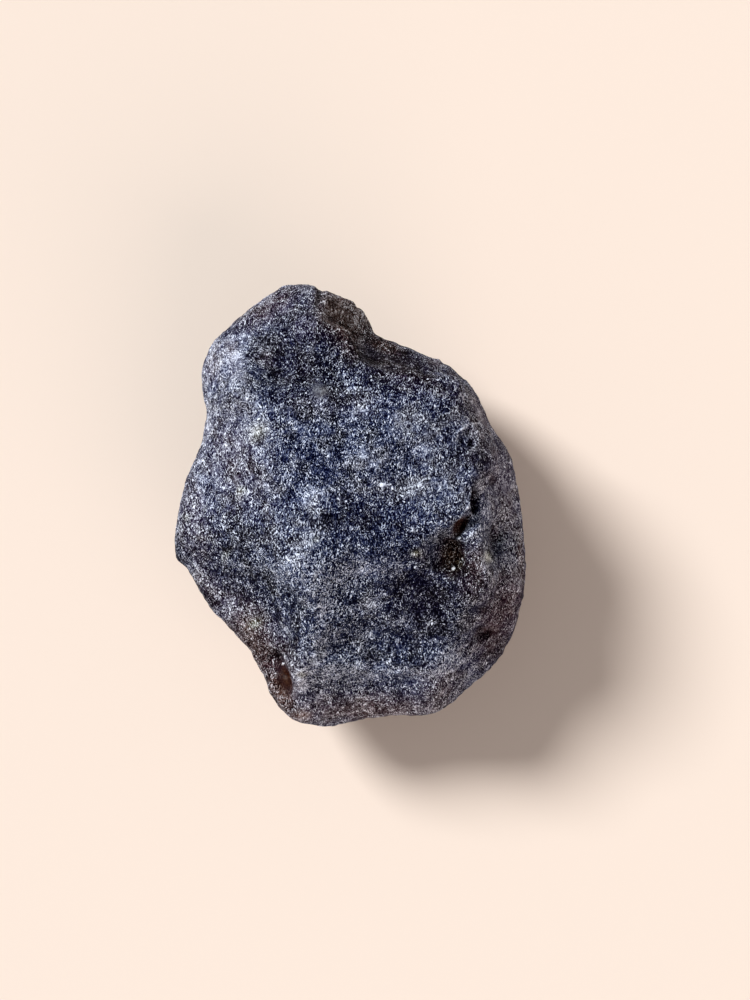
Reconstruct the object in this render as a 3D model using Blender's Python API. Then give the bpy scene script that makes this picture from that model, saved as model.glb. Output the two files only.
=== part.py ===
"""A dark nodule of natural volcanic glass, about the size of a walnut, with a
matt frosted skin. It is one solid: a knob at its top end, a steep brow on its
upper right, worn slopes and hollows, and a few open pits and cracks.

It lies on its flattest side. +Z is up, +Y runs towards the knob, and the
origin is at the middle of the stone on the surface that it rests on.
"""

import math

import bmesh
import bpy
from mathutils import Vector, noise

MM = 0.001

# Driving dimensions, in millimetres
WIDTH = 30.6
LENGTH = 38.3
THICKNESS = 21.0
GIRTH_LEVEL = 9.4  # mean height of the stone's widest contour
FLAT_SPOT_CUT = 0.5  # how much of the underside the resting spot takes away

# The widest contour seen from above, anticlockwise: degrees from +X, and the
# distance from the middle.
GIRTH = [
    # Right side, up to the upper right corner
    (0, 14.9), (8, 14.6), (18, 14.5), (30, 14.15), (43, 14.75), (56, 15.05), (68, 14.75), (76, 14.9),
    # The notch beside the knob, and the knob
    (80, 15.2), (84, 15.9), (88, 17.3), (92, 18.3), (101, 19.5), (106, 19.85), (112, 19.6),
    # Left shoulder and the waist below it
    (125, 18.9), (134, 18.2), (141, 16.9), (148, 15.1), (155, 14.4), (162, 14.1), (170, 14.4),
    # Left corner and the slanting side under it
    (180, 14.8), (190, 15.4), (196, 15.8), (202, 15.2), (212, 15.1), (222, 15.0), (234, 15.6), (241, 16.6),
    # Foot, with its shallow bay
    (249, 18.5), (255, 19.3), (265, 19.3), (271, 18.8), (277, 18.5), (284, 18.9), (291, 19.4),
    # Lower right
    (301, 19.1), (315, 18.6), (324, 17.9), (333, 17.0), (341, 16.3), (350, 15.5),
]

# How boxy the profile from the girth to the middle is, in each direction: 2 is
# a plain oval, and more is a steeper side under a flatter top.
UPPER_PROFILE = [
    (5, 2.7), (45, 3.3), (75, 3.3), (105, 2.1), (150, 2.5), (185, 2.2), (225, 2.1), (265, 2.3), (315, 2.5),
]
UNDER_PROFILE = [(0, 2.7), (90, 2.4), (180, 2.7), (270, 2.5)]
MIDDLE_PROFILE = 2.4

# Worn flat faces: a point on the face, the way it faces (degrees round from +X,
# degrees away from straight up), the softness of its edges, and how far it
# reaches from its point.
FACES = [
    ("knob_side", (-1.0, 16.2, 13.4), 34, 56, 0.35, 3.8),
    ("brow", (3.9, 12.2, 12.6), 65, 61, 0.35, 6.4),
    ("upper_right_corner", (10.7, 8.6, 12.6), 31, 66, 0.5, 5.0),
    ("right_flank", (13.2, -1.6, 12.6), 8, 62, 0.5, 7.0),
    ("lower_right_flank", (11.4, -11.6, 12.4), 328, 52, 0.8, 6.0),
    ("apron", (1.0, -16.2, 12.4), 266, 44, 0.6, 7.0),
    ("lower_slope", (4.0, -9.0, 16.9), 280, 24, 0.8, 8.0),
    ("lower_left_slope", (-9.4, -8.2, 13.6), 212, 46, 0.5, 8.0),
    ("left_slope", (-9.6, 1.0, 16.2), 174, 34, 0.9, 8.0),
    ("left_shoulder", (-11.4, 12.4, 13.2), 146, 50, 0.5, 4.5),
    ("crown", (3.0, 6.0, 19.6), 112, 8, 0.6, 12.0),
    ("heel", (0.0, -14.2, 3.0), 262, 138, 1.2, 12.0),
    ("right_underside", (10.6, 1.0, 3.0), 8, 136, 1.0, 12.0),
    ("left_underside", (-11.2, -1.0, 3.4), 186, 130, 1.0, 12.0),
    ("knob_underside", (-2.6, 14.0, 3.8), 98, 134, 0.9, 9.0),
]

# Hollows and swellings: middle, half-length, half-width, turn of the long axis
# in degrees, depth (swellings are negative) and steepness (2 is a plain bowl,
# and more is a flatter floor with steeper sides).
UPPER_FORMS = [
    ("hollow_behind_shoulder", (-6.6, 12.9), 3.2, 2.3, 115, 2.2, 2),
    ("hollow_towards_brow", (-2.6, 11.4), 3.4, 1.5, 150, 1.1, 2),
    ("knob_crest", (-3.2, 16.6), 3.4, 1.6, 105, -0.6, 2),
    ("shoulder_crest", (-10.3, 12.2), 4.0, 1.8, 98, -0.8, 2),
    ("dome", (3.2, 6.2), 5.0, 3.4, 10, -0.6, 2),
    ("middle_bowl", (1.4, -1.0), 3.8, 2.3, 170, 0.8, 2),
    ("middle_ridge", (-4.8, -4.4), 5.2, 1.7, 108, -0.6, 2),
    ("lower_right_bowl", (5.6, -6.8), 3.2, 2.1, 150, 1.4, 2),
    ("ridge_over_bowl", (1.5, -4.6), 3.0, 1.0, 170, -0.5, 2),
    ("lower_trough", (2.4, -11.2), 5.6, 1.5, 178, 0.7, 2),
    ("lower_ledge", (1.6, -13.4), 6.4, 0.9, 178, -0.6, 2),
    ("lower_left_hollow", (-7.8, -8.4), 4.0, 1.9, 128, 0.8, 2),
    ("big_pit", (8.4, -4.2), 1.9, 1.5, 130, 2.0, 3),
    ("pit_tail", (10.4, -5.6), 1.5, 0.8, 140, 0.8, 2),
    ("long_crack", (9.2, -1.8), 1.8, 0.5, 47, 1.6, 3),
    ("upright_crack", (10.6, 0.7), 1.5, 0.5, 82, 1.6, 3),
    ("flank_hollow", (12.5, -2.6), 1.6, 0.8, 105, 1.3, 2),
    ("flank_pocket", (12.2, 1.2), 1.1, 0.6, 95, 0.7, 2),
    ("upper_flank_pocket", (11.2, 5.0), 1.0, 0.6, 60, 0.6, 2),
    ("low_flank_pocket", (13.0, -7.4), 1.4, 0.8, 100, 0.6, 2),
    ("flank_pit", (11.3, -11.1), 0.8, 0.6, 50, 1.1, 2),
    ("slot", (-6.1, -14.7), 2.2, 0.85, 112, 1.7, 3),
    ("slot_rim", (-4.7, -14.9), 2.4, 0.6, 100, -0.4, 2),
    ("pit_over_slot", (-5.3, -11.6), 0.7, 0.45, 80, 0.6, 2),
]
UNDER_FORMS = [
    ("heel_hollow", (5.0, -11.0), 4.5, 3.0, 20, 0.9, 2),
    ("side_hollow", (-10.0, 4.0), 4.0, 2.4, 80, 0.8, 2),
    ("knob_hollow", (1.5, 12.0), 3.4, 2.4, 150, 0.9, 2),
    ("under_pit", (8.5, 4.0), 1.6, 1.2, 30, 1.0, 2),
    ("under_slot", (-8.6, -7.6), 1.7, 0.8, 120, 0.9, 2),
    ("worn_underside", (0.6, 5.6), 5.0, 4.0, 0, 0.35, 2),
]

# Uneven weathering: the size of its lumps, and how high they stand
WEATHERING = [(6.3, 0.55), (2.4, 0.24), (0.95, 0.1)]
SEED = 7

# The fine mesh is thinned to this share of its triangles, and edges shorter
# than the sliver are closed up.
THINNED_SHARE = 0.108
SLIVER = 0.12
SHARPEST_FOLD = 80  # degrees


def smooth_loop(points, turn):
    """The value at an angle, on a smooth closed curve through (degrees, value) points."""
    count = len(points)
    turn = points[0][0] + (turn - points[0][0]) % 360
    for i in range(count):
        a1, v1 = points[i]
        a2, v2 = points[(i + 1) % count]
        a2 += 360 * (i + 1 == count)
        if turn < a2:
            break
    a0, v0 = points[i - 1]
    a3, v3 = points[(i + 2) % count]
    a0 -= 360 * (a0 > a1)
    a3 += 360 * (a3 < a2)
    t = (turn - a1) / (a2 - a1)
    slope1 = (v2 - v0) / (a2 - a0) * (a2 - a1)
    slope2 = (v3 - v1) / (a3 - a1) * (a2 - a1)
    start = v1 * (1 + 2 * t) + slope1 * t
    end = v2 * (3 - 2 * t) - slope2 * (1 - t)
    return start * (1 - t) ** 2 + end * t * t


def girth_height(angle):
    """The widest contour isn't level: it rises and falls round the stone."""
    return GIRTH_LEVEL + 1.1 * math.cos(angle - 1.9) + 0.7 * math.cos(2 * angle - 0.6)


def oval_radius(angle):
    """A plain oval that the stone's sections come near to at its top and bottom."""
    return 0.485 * math.hypot(WIDTH * math.cos(angle), LENGTH * math.sin(angle))


def swell_ball(bm):
    """Gives a unit ball the stone's girth, thickness and profiles."""
    loops = {}
    for vert in bm.verts:
        turn = round(math.degrees(math.atan2(vert.co.y, vert.co.x)), 1)
        angle = math.radians(turn)
        if turn not in loops:
            profiles = smooth_loop(UPPER_PROFILE, turn), smooth_loop(UNDER_PROFILE, turn)
            loops[turn] = smooth_loop(GIRTH, turn), *profiles
        reach, upper, under = loops[turn]
        across = math.hypot(vert.co.x, vert.co.y)
        up = vert.co.z
        power = upper if up > 0 else under
        # The profiles of all directions meet in one value over the middle
        power += (MIDDLE_PROFILE - power) * max(0, 4 * abs(up) - 3)
        size = (across**power + abs(up) ** power) ** (1 / power)
        across /= size
        up /= size
        evened = up * up * (0.5 if up > 0 else 0.9)
        reach += (oval_radius(angle) - reach) * evened
        level = girth_height(angle) * (1 - up * up) + GIRTH_LEVEL * up * up
        height = THICKNESS - GIRTH_LEVEL if up > 0 else GIRTH_LEVEL + FLAT_SPOT_CUT
        x = reach * across * math.cos(angle)
        y = reach * across * math.sin(angle)
        vert.co = (x, y, level + up * height)


def wear_faces(bm):
    """Presses what stands past each worn face back to it, with a rounded edge."""
    for _, point, turn, tilt, softness, reach in FACES:
        point = Vector(point)
        turn, tilt = math.radians(turn), math.radians(tilt)
        outward = Vector((math.sin(tilt) * math.cos(turn), math.sin(tilt) * math.sin(turn), math.cos(tilt)))
        for vert in bm.verts:
            offset = vert.co - point
            far = offset.length / reach
            if far > 2:
                continue
            past = (offset.dot(outward) + 0.3 * noise.noise(vert.co * 0.35)) / softness
            if past > -5:
                vert.co -= outward * softness * math.log1p(math.exp(past)) * math.exp(-(far**6))


def roughen(bm):
    """Weathers the skin unevenly, in several sizes."""
    bm.normal_update()
    moves = []
    for vert in bm.verts:
        rise = 0
        for size, height in WEATHERING:
            rise += height * noise.noise(vert.co / size + Vector((3.1, 7.7, 1.3)) * size)
        moves.append(vert.normal * rise)
    for vert, move in zip(bm.verts, moves):
        vert.co += move


def press_forms(bm, forms, side):
    """Moves the upper (side 1) or under (side -1) surface in by each form's depth."""
    for vert in bm.verts:
        inward = Vector((
            -vert.co.x / WIDTH**2,
            -vert.co.y / LENGTH**2,
            2.5 * (GIRTH_LEVEL - vert.co.z) / THICKNESS**2,
        )).normalized()
        facing = -inward.z * side
        if facing < 0.02:
            continue
        wander = noise.noise_vector(vert.co * 0.45)
        pressed = 0
        for _, (x, y), length, width, turn, depth, steepness in forms:
            stray = 0.3 * min(1, width)
            dx = vert.co.x + wander.x * stray - x
            dy = vert.co.y + wander.y * stray - y
            if max(abs(dx), abs(dy)) > length * 2.6:
                continue
            turn = math.radians(turn)
            u = (dx * math.cos(turn) + dy * math.sin(turn)) / length
            v = (dy * math.cos(turn) - dx * math.sin(turn)) / width
            pressed += depth * math.exp(-((u * u + v * v) ** (steepness / 2)))
        vert.co += inward * pressed * min(1, 3 * facing)


def draw_out_to_girth(bm):
    """Brings the widest contour back to GIRTH after the wear, and the stone to its thickness."""
    sectors = 120
    widest = [0.0] * sectors
    for vert in bm.verts:
        sector = math.floor(math.atan2(vert.co.y, vert.co.x) / math.tau * sectors) % sectors
        widest[sector] = max(widest[sector], math.hypot(vert.co.x, vert.co.y))
    stretch = [smooth_loop(GIRTH, (i + 0.5) * 360 / sectors) / widest[i] for i in range(sectors)]
    top = max(vert.co.z for vert in bm.verts)
    bottom = min(vert.co.z for vert in bm.verts)
    for vert in bm.verts:
        place = (math.atan2(vert.co.y, vert.co.x) / math.tau * sectors - 0.5) % sectors
        first = int(place) % sectors
        share = place - int(place)
        factor = stretch[first] * (1 - share) + stretch[(first + 1) % sectors] * share
        vert.co.x *= factor
        vert.co.y *= factor
        vert.co.z = (vert.co.z - bottom) / (top - bottom) * (THICKNESS + FLAT_SPOT_CUT)


def thin_out(bm):
    """The same shape in fewer triangles, most of them where the surface bends most."""
    mesh = bpy.data.meshes.new("draft")
    bm.to_mesh(mesh)
    draft = bpy.data.objects.new("draft", mesh)
    bpy.context.scene.collection.objects.link(draft)
    fewer = draft.modifiers.new("fewer", "DECIMATE")
    fewer.ratio = THINNED_SHARE
    evaluated = draft.evaluated_get(bpy.context.evaluated_depsgraph_get())
    thinned = bpy.data.meshes.new_from_object(evaluated)
    bm.clear()
    bm.from_mesh(thinned)
    bmesh.ops.dissolve_degenerate(bm, dist=SLIVER, edges=bm.edges)
    bmesh.ops.triangulate(bm, faces=bm.faces)
    bmesh.ops.beautify_fill(bm, faces=bm.faces, edges=bm.edges)
    for _ in range(3):
        folded = [
            vert for vert in bm.verts
            if max(edge.calc_face_angle(0) for edge in vert.link_edges) > math.radians(SHARPEST_FOLD)
        ]
        axes = {"use_axis_x": True, "use_axis_y": True, "use_axis_z": True}
        bmesh.ops.smooth_vert(bm, verts=folded, factor=0.5, **axes)
    bpy.data.objects.remove(draft)
    bpy.data.meshes.remove(mesh)
    bpy.data.meshes.remove(thinned)


def cut_resting_spot(bm):
    """Cuts the underside level, closes it with one flat face, and centres the stone over the origin."""
    low = min(vert.co.z for vert in bm.verts) + FLAT_SPOT_CUT
    cut = bmesh.ops.bisect_plane(
        bm,
        geom=bm.verts[:] + bm.edges[:] + bm.faces[:],
        dist=SLIVER / 2,
        plane_co=(0, 0, low),
        plane_no=(0, 0, -1),
        clear_outer=True,
    )
    rim = [item for item in cut["geom_cut"] if isinstance(item, bmesh.types.BMEdge)]
    bmesh.ops.contextual_create(bm, geom=rim)
    xs = [vert.co.x for vert in bm.verts]
    ys = [vert.co.y for vert in bm.verts]
    middle = Vector(((min(xs) + max(xs)) / 2, (min(ys) + max(ys)) / 2, low))
    bmesh.ops.translate(bm, vec=-middle, verts=bm.verts)
    for vert in bm.verts:
        if abs(vert.co.z) < SLIVER / 2:
            vert.co.z = 0
    bm.normal_update()


def glass():
    """Blue-black natural glass with a matt skin."""
    material = bpy.data.materials.new("glassy_stone")
    material.use_nodes = True
    shader = material.node_tree.nodes["Principled BSDF"]
    shader.inputs["Base Color"].default_value = (0.035, 0.037, 0.052, 1)
    shader.inputs["Roughness"].default_value = 0.62
    return material


for leftover in list(bpy.data.objects):
    bpy.data.objects.remove(leftover)

noise.seed_set(SEED)
bm = bmesh.new()
bmesh.ops.create_icosphere(bm, subdivisions=7, radius=1)
swell_ball(bm)
wear_faces(bm)
roughen(bm)
press_forms(bm, UPPER_FORMS, 1)
press_forms(bm, UNDER_FORMS, -1)
draw_out_to_girth(bm)
thin_out(bm)
cut_resting_spot(bm)
bmesh.ops.scale(bm, vec=(MM, MM, MM), verts=bm.verts)

mesh = bpy.data.meshes.new("stone")
bm.to_mesh(mesh)
bm.free()
mesh.materials.append(glass())
mesh.shade_smooth()
mesh.set_sharp_from_angle(angle=math.radians(60))
stone = bpy.data.objects.new("stone", mesh)
collection = bpy.data.collections.new("agni_manitite")
bpy.context.scene.collection.children.link(collection)
collection.objects.link(stone)
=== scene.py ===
import math

import bmesh
import bpy
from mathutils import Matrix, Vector, noise


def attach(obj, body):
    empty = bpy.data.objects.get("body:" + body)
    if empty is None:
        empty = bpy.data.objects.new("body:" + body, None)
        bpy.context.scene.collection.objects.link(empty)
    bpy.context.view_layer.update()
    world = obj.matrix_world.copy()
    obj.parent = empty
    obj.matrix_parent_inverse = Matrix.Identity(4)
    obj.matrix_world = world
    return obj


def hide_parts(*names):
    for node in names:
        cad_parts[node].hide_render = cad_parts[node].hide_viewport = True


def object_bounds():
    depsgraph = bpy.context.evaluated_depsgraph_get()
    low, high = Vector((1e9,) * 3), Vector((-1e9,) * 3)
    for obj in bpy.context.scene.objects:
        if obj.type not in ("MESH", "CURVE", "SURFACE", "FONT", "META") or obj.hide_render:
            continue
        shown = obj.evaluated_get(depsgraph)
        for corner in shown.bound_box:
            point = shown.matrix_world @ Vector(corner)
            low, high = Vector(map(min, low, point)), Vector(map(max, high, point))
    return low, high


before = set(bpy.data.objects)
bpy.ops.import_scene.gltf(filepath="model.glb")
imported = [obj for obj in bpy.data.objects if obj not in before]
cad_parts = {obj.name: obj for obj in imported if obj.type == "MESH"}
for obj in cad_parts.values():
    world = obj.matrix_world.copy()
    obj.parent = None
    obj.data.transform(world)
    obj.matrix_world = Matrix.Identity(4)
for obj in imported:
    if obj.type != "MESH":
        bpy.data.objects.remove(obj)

solid_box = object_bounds()
MM = 0.001
scene = bpy.context.scene

# The stone: one nodule of natural glass, blue-black inside, whose skin has been
# etched by the ground to a matt, frosted, finely pitted surface. Nothing holds
# it: it lies on the small flat spot under its middle.
GRAIN_OF_MESH = 0.223 * MM  # spacing of the skin's points
EVENING_PASSES = 10  # smooth away the solid's flats
BROAD_PASSES = 50  # show which places stand proud of the broad form
EYE = (2.04, 0.57)  # what the eye is straight above, in millimetres
EYE_HEIGHT = 200  # above the widest contour, in millimetres
WIDEST = 9.6  # level of the widest contour, in millimetres
NARROW = 0.85  # half-width in millimetres under which a mark is sharply drawn
THIN = 0.2  # half-width in millimetres under which its mesh is finest
MARGIN = 0.12  # of finer mesh about a narrow mark, in millimetres
FADE_BELOW = 0.4  # the marks fade out where the skin turns under by this slope
SEED = 7

# Marks on the upper skin, as the eye straight above sees them: middle, half-length
# and half-width in millimetres at the level of the widest contour, turn of the long
# axis in degrees, firmness of the edge (2 is soft),
# and what the mark does. deep is pressed in, in millimetres. white lightens: partly
# frost of the etching, partly painted light on faces turned to the window; below 0 it
# darkens: partly barer glass, partly painted shade in hollows, cracks and pits, on
# faces turned away from the window and along the edges. The brown mark is partly
# stain of the earth and partly painted warm light, bounced onto the flanks and the
# faces turned away; ochre holds crumbs of earth, bare is smooth glass with no grain,
# coarse has more grain, and blue is bluer than the rest.
MARKS = [
    # Painted shade: the cracks, the throat of the pit and the head of the slot are darkened nearly to black, as
    # shade deep in a recess.
    ("upright crack", (10.75, 0.42), 1.0, 0.34, 88, 6, dict(deep=0.75, stain_and_warm_bounce=0.5, white=-7)),
    ("slanting crack", (9.35, -1.85), 1.08, 0.38, 55, 4, dict(deep=0.28, stain_and_warm_bounce=1.0, bare=0.7, white=0.6)),
    ("edge of the slanting crack", (9.85, -1.55), 0.9, 0.16, 55, 3, dict(deep=0.25, stain_and_warm_bounce=1.0, white=-4)),
    ("pit", (8.75, -4.45), 1.6, 1.25, 100, 2.8, dict(deep=0.24, stain_and_warm_bounce=1.0, ochre=0.35, white=-0.8)),
    ("throat of the pit", (8.75, -3.3), 0.85, 0.42, 153, 2.6, dict(deep=0.35, stain_and_warm_bounce=1.0, white=-4.5)),
    ("right rim of the pit", (10.0, -3.4), 0.6, 0.4, 70, 2, dict(white=1.4)),
    ("foot of the pit", (9.2, -5.0), 0.85, 0.55, 60, 2.4, dict(deep=0.15, stain_and_warm_bounce=1.0, ochre=0.6, white=-0.4)),
    ("left gully of the pit", (7.4, -5.2), 1.2, 0.3, 105, 2.2, dict(deep=0.15, stain_and_warm_bounce=0.3)),
    ("flank furrow", (12.5, -2.4), 1.6, 0.55, 82, 2.6, dict(deep=0.35, stain_and_warm_bounce=0.45, white=-1.2)),
    ("flank pit", (11.75, -11.1), 0.42, 0.22, 40, 2.4, dict(deep=0.4, stain_and_warm_bounce=0.6, white=-1)),
    ("slot", (-5.8, -14.9), 1.7, 0.6, 109, 3, dict(deep=0.3, stain_and_warm_bounce=1.0, ochre=0.2, bare=1.0, white=0.6)),
    ("head of the slot", (-6.5, -13.1), 0.55, 0.4, 60, 2.4, dict(deep=0.25, stain_and_warm_bounce=0.8, white=-3)),
    ("pit above the slot", (-4.9, -11.8), 0.45, 0.18, 80, 2.2, dict(deep=0.3, stain_and_warm_bounce=0.5, white=-1)),
    ("scar", (10.1, 5.85), 0.9, 0.8, 20, 5, dict(deep=0.25, white=-0.5)),
    ("pit in the scar", (10.45, 5.5), 0.3, 0.27, 60, 3, dict(deep=0.35, white=-2.5)),
    ("pit under the scar", (10.1, 3.35), 0.33, 0.24, 100, 3, dict(deep=0.3, white=-2.5)),
    ("flank hollow", (12.3, 2.3), 0.7, 0.5, 90, 3, dict(deep=0.15, stain_and_warm_bounce=0.5, white=-1.8)),
    ("upper flank hollow", (11.7, 3.9), 0.5, 0.35, 60, 3, dict(deep=0.15, white=-1.5)),
    ("left pit in the scar", (9.7, 5.7), 0.22, 0.2, 0, 3, dict(deep=0.2, white=-2)),
    ("notch in the brow", (6.1, 11.8), 0.65, 0.28, -30, 2.2, dict(deep=0.25, white=-1)),
    ("furrow in the knob", (-2.7, 18.5), 1.3, 0.35, 80, 2.2, dict(deep=0.4, white=-1)),
    ("knob, right side", (1.1, 16.9), 1.8, 0.9, 125, 2, dict(deep=-0.75)),
    ("knob, left side", (-8.5, 16.3), 4.0, 1.0, 35, 2, dict(deep=0.12)),
    ("lower right edge", (14.0, -11.2), 1.8, 0.9, 60, 2, dict(deep=-0.15)),
    ("white grain", (2.65, 1.87), 0.19, 0.15, 90, 5, dict(deep=-0.04, white=16)),
    ("bright grain in the pit", (8.85, -5.4), 0.18, 0.17, 0, 4, dict(deep=-0.04, white=12)),
    ("pale grain by the slanting crack", (9.3, -2.72), 0.26, 0.12, 10, 4, dict(deep=-0.04, white=9)),
    ("pale grain by the upright crack", (10.1, -0.1), 0.17, 0.14, 0, 4, dict(deep=-0.03, white=6)),
    ("bright grain in the slot", (-6.0, -13.7), 0.17, 0.13, 20, 4, dict(deep=-0.04, white=8)),
    # Painted light: the shoulder and the left slope face the window and are lightened; their dips are darkened
    # as painted shade.
    ("left shoulder", (-10.4, 13.2), 2.5, 1.2, 100, 2, dict(white=2.5, bare=0.3, stain_and_warm_bounce=0.25)),
    ("inner side of the shoulder", (-8.7, 12.0), 1.2, 0.6, 100, 2, dict(white=-2.2)),
    ("outer left shoulder", (-12.2, 12.3), 2.6, 1.2, 75, 2, dict(white=1.9, bare=0.2, stain_and_warm_bounce=0.3)),
    ("foot of the shoulder", (-11.0, 10.6), 1.0, 0.7, 90, 2, dict(white=-1.2)),
    ("foot of the knob", (0.5, 10.8), 1.35, 0.75, 155, 2, dict(white=3.5, coarse=0.2)),
    ("dome, left", (0.5, 8.2), 1.2, 0.9, 120, 2, dict(white=1.6)),
    ("dome, middle", (4.5, 6.9), 1.4, 1.0, 30, 2, dict(white=3.4, coarse=-0.15)),
    ("dome, right", (6.5, 4.6), 1.2, 0.8, 90, 2, dict(white=2.9, coarse=-0.15)),
    ("dome, low", (6.3, 1.4), 2.6, 1.1, 0, 2, dict(white=1.7, coarse=-0.15)),
    ("dome, low left", (1.5, 3.9), 1.6, 0.9, 160, 2, dict(white=2.0, coarse=-0.15)),
    ("left slope", (-10.6, 4.2), 5.2, 3.2, 100, 2, dict(white=0.85, coarse=-0.12)),
    ("inner left slope", (-8.7, 7.3), 2.5, 1.65, 75, 2, dict(white=3.05)),
    ("streak on the left slope", (-7.5, 5.0), 1.8, 0.7, 20, 2, dict(white=2.6)),
    ("right of the streak", (-5.8, 5.2), 0.9, 0.6, 0, 2, dict(white=-2.0)),
    ("rim of the left slope", (-12.5, 6.8), 0.9, 0.5, 85, 2, dict(white=2.3)),
    ("outer head of the left slope", (-11.0, 8.3), 1.0, 0.6, 90, 2, dict(white=-0.6)),
    ("dip in the left slope", (-9.2, 3.9), 1.0, 0.7, 20, 2, dict(white=-2.5)),
    ("outer dip in the left slope", (-11.8, 5.2), 1.0, 0.6, 100, 2, dict(white=-0.9)),
    ("saddle", (-3.8, 0.8), 1.25, 0.9, 10, 2, dict(white=3.6)),
    ("foot of the saddle", (-4.9, -0.6), 0.9, 0.6, 0, 2, dict(white=-2.4)),
    ("right of the saddle", (-3.2, 2.1), 0.85, 0.6, 0, 2, dict(white=-2.8)),
    ("by the dome's left foot", (-2.2, 3.2), 0.8, 0.5, 0, 2, dict(white=0.8)),
    ("ridge, head", (-4.0, -2.9), 1.6, 1.1, 75, 2, dict(white=3.3)),
    ("right of the ridge's head", (-2.2, -2.5), 0.8, 0.65, 0, 2, dict(white=1.6)),
    ("left of the ridge's head", (-5.8, -3.5), 1.2, 0.6, 80, 2, dict(white=-2.2)),
    ("ridge", (-5.2, -5.7), 1.6, 0.95, 115, 2, dict(white=2.9)),
    ("below the bowl", (2.2, -5.5), 1.5, 0.7, 8, 2, dict(white=2.4)),
    ("left of the right bowl", (-1.3, -6.7), 1.0, 0.7, 0, 2, dict(white=1.4)),
    ("dip below the bowl", (1.4, -6.8), 1.0, 0.5, 0, 2, dict(white=-2.3)),
    ("light patch in the right bowl", (1.3, -8.6), 1.1, 0.5, 20, 2, dict(white=2.4)),
    ("ledge", (1.5, -13.9), 4.5, 0.9, 2, 2, dict(white=0.4)),
    ("ledge, right end", (8.8, -13.4), 1.4, 1.1, 30, 2, dict(white=3.0)),
    ("slot's rim", (-4.6, -14.9), 1.2, 0.42, 108, 2, dict(white=5.2, coarse=0.3)),
    ("crumbs on the slot's rim", (-4.3, -14.6), 0.35, 0.3, 0, 2, dict(ochre=0.7, white=1.0)),
    ("lower left edge", (-8.7, -10.0), 1.4, 0.8, 150, 2, dict(white=3.4)),
    # Painted highlight: the scar's rims are lightened as lit edges.
    ("scar's rim", (10.5, 7.2), 0.5, 0.11, 5, 2, dict(deep=-0.05, white=6)),
    ("scar's left rim", (9.6, 6.75), 0.5, 0.11, 35, 2, dict(deep=-0.05, white=6)),
    # Painted shade: the hollow behind the shoulder, kept from the window by the shoulder, is darkened.
    ("hollow by the shoulder", (-5.3, 12.7), 2.9, 1.7, 150, 2, dict(white=-2.8, stain_and_warm_bounce=0.17)),
    ("light patch in the hollow", (-7.3, 12.8), 1.1, 0.8, 0, 2, dict(white=1.6, stain_and_warm_bounce=0.4, coarse=0.1)),
    ("knob", (-3.6, 15.9), 2.2, 1.6, 40, 2, dict(white=-1.5, stain_and_warm_bounce=0.3, coarse=-0.05)),
    # Painted shade and painted warm bounce: the knob's face turned away from the window is darkened and
    # browned, down to its foot.
    ("knob's dark face", (-0.6, 16.4), 3.7, 2.3, 125, 3, dict(white=-0.2, stain_and_warm_bounce=0.9, ochre=0.1)),
    ("foot of the dark face", (2.7, 14.0), 2.4, 0.95, 155, 2, dict(white=-3.1, stain_and_warm_bounce=0.95)),
    ("streak on the dark face", (0.3, 15.8), 2.0, 0.65, 125, 2, dict(white=2.6)),
    ("top of the knob", (-4.9, 18.2), 1.2, 0.8, 0, 2, dict(white=-2.6)),
    ("left of the knob", (-6.1, 15.9), 1.3, 0.9, 0, 2, dict(white=-1.2, blue=-0.7)),
    ("beside the furrow in the knob", (-1.7, 16.9), 0.8, 0.6, 0, 2, dict(white=1.2)),
    ("left edge of the knob", (-8.4, 16.0), 1.0, 0.6, 35, 2, dict(white=-1.2)),
    ("top edge of the shoulder", (-10.3, 15.3), 1.2, 0.6, 40, 2, dict(white=-1.8)),
    ("edge of the knob", (0.2, 17.3), 0.9, 0.6, 130, 2, dict(white=-1.8)),
    ("edge of the brow", (8.9, 11.5), 1.0, 0.6, 140, 2, dict(white=-1.5, stain_and_warm_bounce=0.5)),
    ("edge of the shoulder", (-10.8, 14.8), 0.9, 0.6, 45, 2, dict(white=-1.2)),
    ("edge over the slot", (-8.6, -12.4), 0.9, 0.6, 125, 2, dict(white=-1.3)),
    ("lower right corner", (9.0, -16.2), 1.2, 0.6, 30, 2, dict(white=-1.4)),
    ("edge of the left corner", (-14.2, 0.9), 0.7, 0.5, 90, 2, dict(white=-1.2)),
    # Painted shade and painted warm bounce: the brow slopes away from the window and is darkened and browned.
    ("brow", (3.8, 12.5), 4.2, 1.8, 156, 2, dict(white=-3.7, stain_and_warm_bounce=0.5, coarse=0.15)),
    ("valley under the brow", (-0.6, 12.7), 2.6, 1.4, 150, 2, dict(white=-1.6)),
    ("hollow under the knob", (-1.3, 13.9), 1.0, 0.7, 0, 2, dict(white=-2.7)),
    ("bowl", (0.4, -1.2), 3.9, 2.3, 5, 2, dict(white=-2.2)),
    ("right half of the bowl", (4.5, -0.8), 1.1, 0.8, 0, 2, dict(white=-1.4)),
    ("dip right of the saddle", (-4.2, 5.6), 1.3, 1.6, 0, 2, dict(white=-0.3)),
    ("dip left of the dome", (-3.4, 7.7), 1.3, 0.7, 110, 2, dict(white=-2.3)),
    ("left of the dip", (-4.9, 7.5), 0.8, 0.6, 0, 2, dict(white=1.3)),
    ("dip over the saddle", (-4.0, 3.6), 1.5, 0.95, 0, 2, dict(white=-2.3)),
    # Painted shade: the dark bowl, turned away from the window, is darkened.
    ("dark bowl", (5.9, -7.8), 3.2, 2.5, 0, 2, dict(white=-4.5, stain_and_warm_bounce=0.2)),
    ("below the pit", (10.4, -8.0), 3.6, 1.9, 80, 2, dict(white=-1.1)),
    ("beside the foot of the pit", (9.8, -5.4), 1.1, 0.75, 0, 2, dict(white=-2.4)),
    ("lower left flank", (-8.9, -4.4), 4.8, 2.7, 118, 2, dict(white=-1.9, bare=0.1, coarse=0.35)),
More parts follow.
